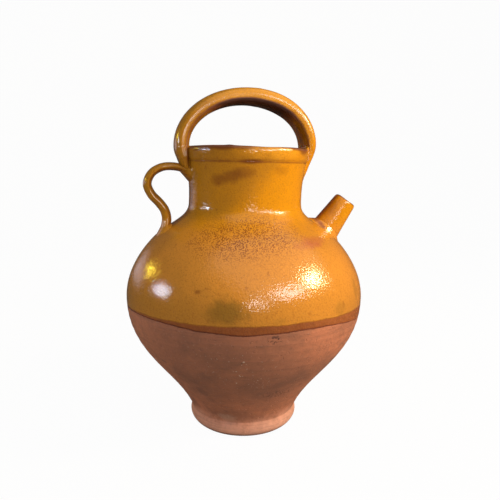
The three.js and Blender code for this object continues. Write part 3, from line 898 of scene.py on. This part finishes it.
def fired_clay(s, place, angle, colours, cloud, turned):
    """Bare clay: paler on the foot, smoked in broad patches and streaks, with turning lines, and with small
    pits and lime specks that gather in a few places. Soot and painted shade darken the left and middle of the
    lower body, and a painted contact shadow darkens the bottom edge."""
    _, _, z = s.axes(place)
    drift = cloud - 0.5
    ragged = drift * 0.6
    pale = s.step(0.032, 0.009, z + drift * 0.014 + 0.003 * s.lobe(angle, FRONT, 10))
    smoked = 1 - pale * 0.6
    streaks = s.noise(s.stretched(place, (0, 0, 0), (0.016, 0.016, 0.08)), 1.0, 3, 0.6)
    clay = s.layered(
        s.mix(pale * (0.86 - 0.3 * s.lobe(angle, -175, 3)), colours.clay, colours.foot),
        (s.step(0.42, 0.72, s.noise(place, 26, 4, 0.65)) * smoked * 0.42, colours.soot_and_shade),
        (s.step(0.48, 0.75, streaks) * smoked * 0.3, colours.soot_and_shade),
        (s.step(0.46, 0.72, cloud) * smoked * 0.34, colours.soot_and_shade),
        (s.step(0.5, 0.75, s.noise(place, 330, 3, 0.6)) * smoked * 0.36, colours.soot_and_shade),
    )
    clay = s.patched(clay, colours, CLAY_PATCHES, place, ragged)
    specks = s.noise(place, 480, 1)
    pitted, limed = (sum(s.smudge(place, ragged, *zone) for zone in zones) for zones in (PITTED, LIMED))
    return s.layered(
        clay,
        (s.step(0.5, 0.72, turned) * 0.2, colours.soot_and_shade),
        # Soot with a painted contact shadow along the bottom edge.
        (s.step(0.008, 0.002, z + drift * 0.006) * 0.85, colours.soot_and_shade),
        (s.step(0.535, 0.61, specks) * (pitted * 0.75 + 0.03), colours.burnt_and_shade),
        (s.step(0.3, 0.25, specks) * (limed * 0.5 + 0.15), colours.chalk),
    )


def glazed_clay(colours):
    """Bare clay below, honey glaze over slip above, and between them a brown band of glaze on bare clay.

    The slip ends on a line at a height that waves round the pot, and the glaze runs past it by a depth that
    is a sum of two lobes, one in front and a deeper one by the spout."""
    material = bpy.data.materials.new(FINISH)
    s = Shader(material)
    place = s.node("ShaderNodeTexCoord", output="Object")
    x, y, z = s.axes(place)
    angle = s.math("ARCTAN2", y, x)
    cloud = s.noise(place, 80, 4, 0.6)
    thin_and_shade = s.node("ShaderNodeAttribute", {"attribute_name": "thin_and_shade"}, output="Fac")
    turned = s.noise(s.stretched(place, (0, 0, 0), (0.07, 0.07, 0.0024)), 1.0, 3, 0.6)
    fine = s.noise(place, 620, 2, 0.5)

    edge = z + (s.noise(place, 45, 3) - 0.5) * 0.003 + (fine - 0.5) * 0.0008
    slip_line = SLIP_HEIGHT + 0.0014 * s.math("COSINE", angle + math.radians(85))
    slip_line = slip_line + 0.0005 * s.math("COSINE", angle * 5) - 0.0016 * s.lobe(angle, 168, 6)
    drop = 0.0018 + 0.0053 * s.lobe(angle, FRONT, 16) + 0.0128 * s.lobe(angle, -5, 4)
    slipped = s.step(-0.0004, 0.0004, edge - slip_line)
    run = edge - slip_line + drop
    glazed = s.step(-0.0003, 0.0003, run)
    pooled = glazed * s.step(0.0017, 0.0004, run) * s.step(0.3, 0.6, cloud + s.lobe(angle, FRONT, 9) * 0.3)
    border = slipped * s.step(0.0013, 0.0003, edge - slip_line)

    band = s.layered(
        colours.band,
        (s.step(0.4, 0.65, s.noise(place, 170, 3)) * 0.3, colours.rust),
        (s.lobe(angle, FRONT, 8) * 0.55, colours.rust),
        (pooled * 0.85, colours.plum),
        (pooled * s.lobe(angle, -115, 7) * 0.7, colours.burnt_and_shade),
    )
    honey = s.mix(border * 0.6, honey_glaze(s, place, colours, cloud, thin_and_shade), colours.rust)
    clay = fired_clay(s, place, angle, colours, cloud, turned)
    base = s.layered(clay, (glazed, band), (slipped, honey))

    grain = s.noise(place, 1700, 3, 0.65)
    held = s.step(0.286, 0.293, z)
    smooth = s.step(-0.07, -0.076, x) * s.step(0.206, 0.214, z)
    peel = (s.noise(place, 570, 1, 0.5) - 0.5) * 0.00026 + (s.noise(place, 230, 2) - 0.5) * 0.0001
    pits = s.step(0.68, 0.74, s.noise(s.stretched(place, (1, 2, 3), (1, 1, 1)), 300, 1))
    bare = (grain - 0.5) * 0.0001 + (turned - 0.5) * 0.00022 - pits * 0.0003
    relief = bare + glazed * (peel * (1 - held * 0.5 - smooth * 0.9) - bare + 0.0003) + slipped * 0.00015
    bump = s.node("ShaderNodeBump", {}, {"Height": relief, "Distance": 1.0, "Strength": 1.0})
    rough = 0.74 + (grain - 0.5) * 0.2 - glazed * (0.5 + (cloud - 0.5) * 0.1)
    rough = rough - slipped * (0.13 - held * 0.07 + smooth * 0.05) + s.step(0.5, 0.8, thin_and_shade) * 0.35
    inputs = {"Base Color": base, "Roughness": rough, "IOR": 1.55, "Normal": bump}
    shader = s.node("ShaderNodeBsdfPrincipled", {}, inputs)
    s.node("ShaderNodeOutputMaterial", {}, {"Surface": shader})
    return material


# Operators


class JarStep:
    """What the steps that add clay share"""

    bl_options = {"REGISTER", "UNDO"}

    def add(self, node, slot, points, faces, normals, thin_and_shade=None):
        """Adds the piece that stands for a CAD node. The last argument says how far the glaze has thinned at
        each point, and where painted shade darkens it.
        """
        thin_and_shade = np.zeros(len(points)) if thin_and_shade is None else thin_and_shade
        made = piece(node, slot, points, faces, normals, thin_and_shade)
        colours = bpy.context.scene.jar_colours
        made.data.materials.append(bpy.data.materials.get(FINISH) or glazed_clay(colours))


class JAR_OT_throw_body(JarStep, bpy.types.Operator):
    """Throws the foot, the lower body, the shoulder, the neck and the rim"""

    bl_idname = "jar.throw_body"
    bl_label = "Throw Body"

    def execute(self, context):
        size = context.scene.jar_body
        outline = body_outline(size)
        outer = thrown(outline["outer"], size)
        outer_normal = grid_normals(outer)
        crease = len(outline["outer_foot"])
        hollow = thrown(outline["inner_foot"], size, inside=True)
        normal = np.vstack([outer_normal[:crease], grid_normals(hollow)])
        self.add("foot", "fired_clay", *capped_mesh(np.vstack([outer[:crease], hollow]), normal))
        sections = (("lower_body", "fired_clay"), ("shoulder", "honey_glaze"), ("neck", "honey_glaze"))
        for which, (node, slot) in enumerate(sections):
            grid, normal = wall_section(which, size)
            points, faces, normals = looped_mesh(grid, normal, (len(grid) // 2 - 1, len(grid) - 1))
            if node == "shoulder":
                faces, normals = pierced(grid, faces, normals, context.scene.jar_spout)
            below = upright(points, size)[:, 2] - size.groove_height
            # Thin glaze and painted crease shade along the groove.
            thin_and_shade = GROOVE_THIN_AND_SHADE * share_of_edge(below, GROOVE_REACH)
            self.add(node, slot, points, faces, normals, thin_and_shade)
        groove = crease + len(outline["wall"]) - 2
        rim = looped_mesh(outer[groove:], outer_normal[groove:], (len(outer) - groove - 1,))
        self.add("rim", "honey_glaze", *rim, self.worn_rim(outline["rim"], size))
        return {"FINISHED"}

    def worn_rim(self, rows, size):
        """Thin glaze on the lip's edge, worse where fingers held the rim, and thin glaze with painted crease
        shade in the groove.
        """
        out = rows[:, 0] - size.rim_radius + 2.6 * MM
        up = rows[:, 1] - size.rim_height + 0.6 * MM
        lip = np.hypot(out / 1.5, up)
        angle = np.degrees(column_angles())
        held = sum(hill(angle, at, wide) for at, wide in ((-156, 11), (-117, 8), (-46, 16), (70, 20)))
        worn = 0.95 - 0.65 * hill(angle, -82, 26) + 0.35 * held
        reach = (4.2 + 1.9 * hill(angle, -143, 28) + 1.4 * hill(angle, -36, 14)) * MM
        edge = share_of_edge(lip[:, None], reach) * worn
        groove = share_of_edge(rows[:, 1] - size.groove_height, GROOVE_REACH)[:, None]
        return np.maximum(edge, GROOVE_THIN_AND_SHADE * groove).ravel()


class JAR_OT_set_spout(JarStep, bpy.types.Operator):
    """Sets the spout on the shoulder and presses clay round its root"""

    bl_idname = "jar.set_spout"
    bl_label = "Set Spout"

    def execute(self, context):
        size, cone = context.scene.jar_spout, Cone(context.scene.jar_spout)
        tip, bore, end = size.mouth_radius, size.bore, cone.length
        brim = (end, tip - 2 * MM)
        lip = joined(
            cubic((end - 2.4 * MM, tip), (end - 0.6 * MM, tip), (end, tip - 0.8 * MM), brim, 0.4 * MM),
            cubic(brim, (end, bore + 0.9 * MM), (end - 1 * MM, bore), (end - 3 * MM, bore), 0.4 * MM),
        )
        outside = np.linspace(-4 * MM, lip[0, 0], 30)
        inside = np.linspace(lip[-1, 0], -8 * MM, 30)
        hole = bore + (size.piercing - bore) * (1 - eased(0, end / 2, inside))
        rows = joined(np.stack([outside, cone.radius(outside)], 1), lip, np.stack([inside, hole], 1))
        angle = OVAL_ANGLES
        wave = 0.25 * MM * np.cos(2 * angle + 0.5) + 0.2 * MM * np.cos(3 * angle + 2)
        reach = eased(0.4 * end, end, rows[:, 0])[:, None]
        radius = rows[:, 1, None] + 0.6 * wave
        along = rows[:, 0, None] + reach * (wave - 0.5 * MM)
        grid = cone.place(along, radius, np.broadcast_to(angle, radius.shape))
        lower = np.cos(angle)  # 1 below the spout and -1 above it
        edge = np.linalg.norm(rows - [end - 0.3 * MM, tip - 1 * MM], axis=1)
        edge = 0.9 * share_of_edge(edge, 2.8 * MM)[:, None]
        thin_and_shade = np.maximum(edge, 0.6 * eased(0.8, 1, -lower)).ravel()
        self.add("spout", "handle_glaze", *looped_mesh(grid, grid_normals(grid), (len(grid) - 1,)), thin_and_shade)
        pot, press = Pot(context.scene.jar_body), context.scene.jar_handles.press
        rise = (7 - lower - 2 * lower**2) * MM
        spread = (0.45 - 0.1 * lower + 0.85 * lower**2) * press
        points, faces, normals = pressed_clay(cone, pot, -6 * MM, 0.8 * end, rise, spread)
        seam = hill(np.linspace(0, 1, LUTE_ROWS + 2), 0.52, 0.2)[:, None]  # with the two rows turned under
        thin_and_shade = (0.52 * seam * eased(0.35, -0.3, lower)).ravel()
        self.add("spout_lute", "lute_glaze", points, faces, normals, thin_and_shade)
        return {"FINISHED"}


class JAR_OT_pull_handles(JarStep, bpy.types.Operator):
    """Pulls the arched handle and the side handle, and presses clay round their roots"""

    bl_idname = "jar.pull_handles"
    bl_label = "Pull Handles"

    def execute(self, context):
        size, pot = context.scene.jar_handles, Pot(context.scene.jar_body)
        arch, side = arch_strap(size), side_strap(size)
        for node, strap, count, inward, crown in (
            ("arch_handle", arch, 240, -3.5, 0.8),
            ("side_handle", side, 140, 2, 0),
        ):
            grid, angle = strap.rings(count)
            edge = hill(np.abs(np.cos(angle)), 0.93, 0.08)
            # Thin glaze and painted shade on the face of each strap turned towards the pot: under the arch,
            # darkest beneath its crown, and inside the side handle's loop.
            under = np.clip(inward * np.sin(angle), 0, 1)
            share = np.linspace(0, 1, len(grid))[:, None]
            worn = 0.5 + crown * eased(0.25, 0.42, share) * eased(0.75, 0.6, share)
            thin_and_shade = ends_last(under * (worn + 0.2 * edge))
            self.add(node, "handle_glaze", *capped_mesh(grid, grid_normals(grid)), thin_and_shade)
        press = size.press
        outer = 0.62 + 0.38 * np.sin(OVAL_ANGLES)  # 1 outside the arch
        inner = 1.24 - outer  # the side handle's line runs the other way round
        for node, strap, bare, rise, spread in (
            ("arch_handle_lute", arch, 56 * MM, 11 * MM * outer, 1.2 * press * outer),
            ("side_handle_lute", side, 30 * MM, 8 * MM * inner, 1.2 * press * inner),
        ):
            root = pressed_clay(strap, pot, strap.length, strap.length - bare, rise, spread)
            self.add(node, "lute_glaze", *root)
        first = pressed_clay(arch, pot, 0.0, 45 * MM, 6 * MM * outer, 0.7 * press * outer)
        upper = pressed_clay(side, pot, 0.0, 25 * MM, (10 * outer + 1) * MM, 1.3 * press * outer)
        points = np.vstack([first[0], upper[0]])
        faces = first[1] + [group + len(first[0]) for group in upper[1]]
        self.add("shared_root_lute", "lute_glaze", points, faces, first[2] + upper[2])
        return {"FINISHED"}


def round_jar(turn, away, height):
    """Point at a distance from the Z axis, turned about it from straight in front."""
    return Vector((away * math.sin(turn), -away * math.cos(turn), height))


class JAR_OT_set_stage(bpy.types.Operator):
    """Lays the floor, hangs the lamps and sets up the camera"""

    bl_idname = "jar.set_stage"
    bl_label = "Set Stage"

    def execute(self, context):
        stage = context.scene.jar_stage
        self.lay_floor(context, stage)
        self.hang_lamps(context)
        self.light_room(context, stage)
        self.set_camera(context, stage)
        context.scene.view_settings.view_transform = "Standard"
        return {"FINISHED"}

    def lay_floor(self, context, stage):
        """A sheet of paper that curves up behind: a straight run, a quarter circle and a straight rise."""
        bend = np.radians(np.linspace(0, 90, 24))
        rise = PAPER_BEND * np.stack([np.sin(bend), 1 - np.cos(bend)], axis=1) + [PAPER_BACK, 0]
        rows = np.vstack([[[PAPER_FRONT, 0]], rise, [[PAPER_BACK + PAPER_BEND, PAPER_TOP]]])
        across = np.linspace(-PAPER_SIDE, PAPER_SIDE, 12)
        points = np.stack(np.broadcast_arrays(across[None, :], rows[:, 0, None], rows[:, 1, None]), axis=-1)
        number = np.arange(len(rows) * len(across)).reshape(len(rows), len(across))
        faces = np.stack([number[:-1, :-1], number[:-1, 1:], number[1:, 1:], number[1:, :-1]], axis=-1)
        mesh = bpy.data.meshes.new("floor")
        mesh.from_pydata(points.reshape(-1, 3).tolist(), [], faces.reshape(-1, 4).tolist())
        mesh.polygons.foreach_set("use_smooth", np.ones(len(mesh.polygons), bool))
        floor = bpy.data.objects.new("floor", mesh)
        context.scene.collection.objects.link(floor)
        mesh.materials.append(bpy.data.materials.new("studio_paper"))
        s = Shader(mesh.materials[0])
        paper = s.node("ShaderNodeBsdfDiffuse", {}, {"Color": stage.floor})
        paper = s.seen_white("ShaderNodeEmission", paper, stage.mirrored, PAPER_WHITE)
        s.node("ShaderNodeOutputMaterial", {}, {"Surface": paper})

    def hang_lamps(self, context):
        """Soft boxes that face a point in the jar, each placed by its turn from the view and its rise."""
        aim = Vector(LAMP_AIM)
        for name, turn, rise, wide, tall, power, tint in LAMPS:
            lamp = bpy.data.lights.new(name, "AREA")
            lamp.shape, lamp.size, lamp.size_y = "RECTANGLE", wide, tall
            lamp.energy, lamp.color = power, tint
            made = bpy.data.objects.new(name, lamp)
            climb = math.radians(rise)
            flat, up = LAMP_DISTANCE * math.cos(climb), LAMP_DISTANCE * math.sin(climb)
            made.location = aim + round_jar(math.radians(turn + VIEW_TURN), flat, up)
            made.rotation_euler = (aim - made.location).to_track_quat("-Z", "Y").to_euler()
            context.scene.collection.objects.link(made)

    def light_room(self, context, stage):
        """A dim even room, dimmer still in the glaze and seen by the camera as white."""
        context.scene.world = bpy.data.worlds.new("studio")
        s = Shader(context.scene.world)
        room = s.node("ShaderNodeBackground", {}, {"Color": (0.94, 0.98, 1), "Strength": stage.room})
        room = s.seen_white("ShaderNodeBackground", room, stage.mirrored, 1.0)
        s.node("ShaderNodeOutputWorld", {}, {"Surface": room})

    def set_camera(self, context, stage):
        """A camera at the photograph's angle and height."""
        camera = bpy.data.objects.new("camera", bpy.data.cameras.new("camera"))
        camera.data.lens, camera.data.sensor_width = stage.lens, SENSOR_WIDTH
        camera.data.clip_start = 0.02
        camera.location = round_jar(math.radians(VIEW_TURN), stage.distance, stage.eye)
        level = Euler((math.pi / 2 - stage.tilt, 0, stage.heading)).to_matrix()
        camera.rotation_euler = (level @ Matrix.Rotation(stage.roll, 3, "Z")).to_euler()
        context.scene.collection.objects.link(camera)
        context.scene.camera = camera


class JAR_PT_build(bpy.types.Panel):
    """Lists the jar's sizes, colours and steps"""

    bl_label = "Water Jar"
    bl_idname = "JAR_PT_build"
    bl_space_type = "VIEW_3D"
    bl_region_type = "UI"
    bl_category = "Jar"

    def draw(self, context):
        for label, _ in GROUPS:
            box = self.layout.box()
            settings = getattr(context.scene, label)
            for name in settings.bl_rna.properties.keys()[2:]:  # past rna_type and name
                box.prop(settings, name)
        for step in STEPS:
            self.layout.operator(step.bl_idname)


GROUPS = (
    ("jar_body", JarBodySizes),
    ("jar_handles", JarHandleSizes),
    ("jar_spout", JarSpoutSizes),
    ("jar_colours", JarColours),
    ("jar_stage", JarStage),
)
STEPS = (JAR_OT_throw_body, JAR_OT_set_spout, JAR_OT_pull_handles, JAR_OT_set_stage)


def register():
    for label, group in GROUPS:
        bpy.utils.register_class(group)
        setattr(bpy.types.Scene, label, PointerProperty(type=group))
    for made in (*STEPS, JAR_PT_build):
        bpy.utils.register_class(made)


def unregister():
    for made in reversed((*STEPS, JAR_PT_build)):
        bpy.utils.unregister_class(made)
    for label, group in reversed(GROUPS):
        delattr(bpy.types.Scene, label)
        bpy.utils.unregister_class(group)


def main():
    register()
    bpy.ops.jar.throw_body()
    bpy.ops.jar.set_spout()
    bpy.ops.jar.pull_handles()
    bpy.ops.jar.set_stage()


if __name__ == "__main__":
    main()
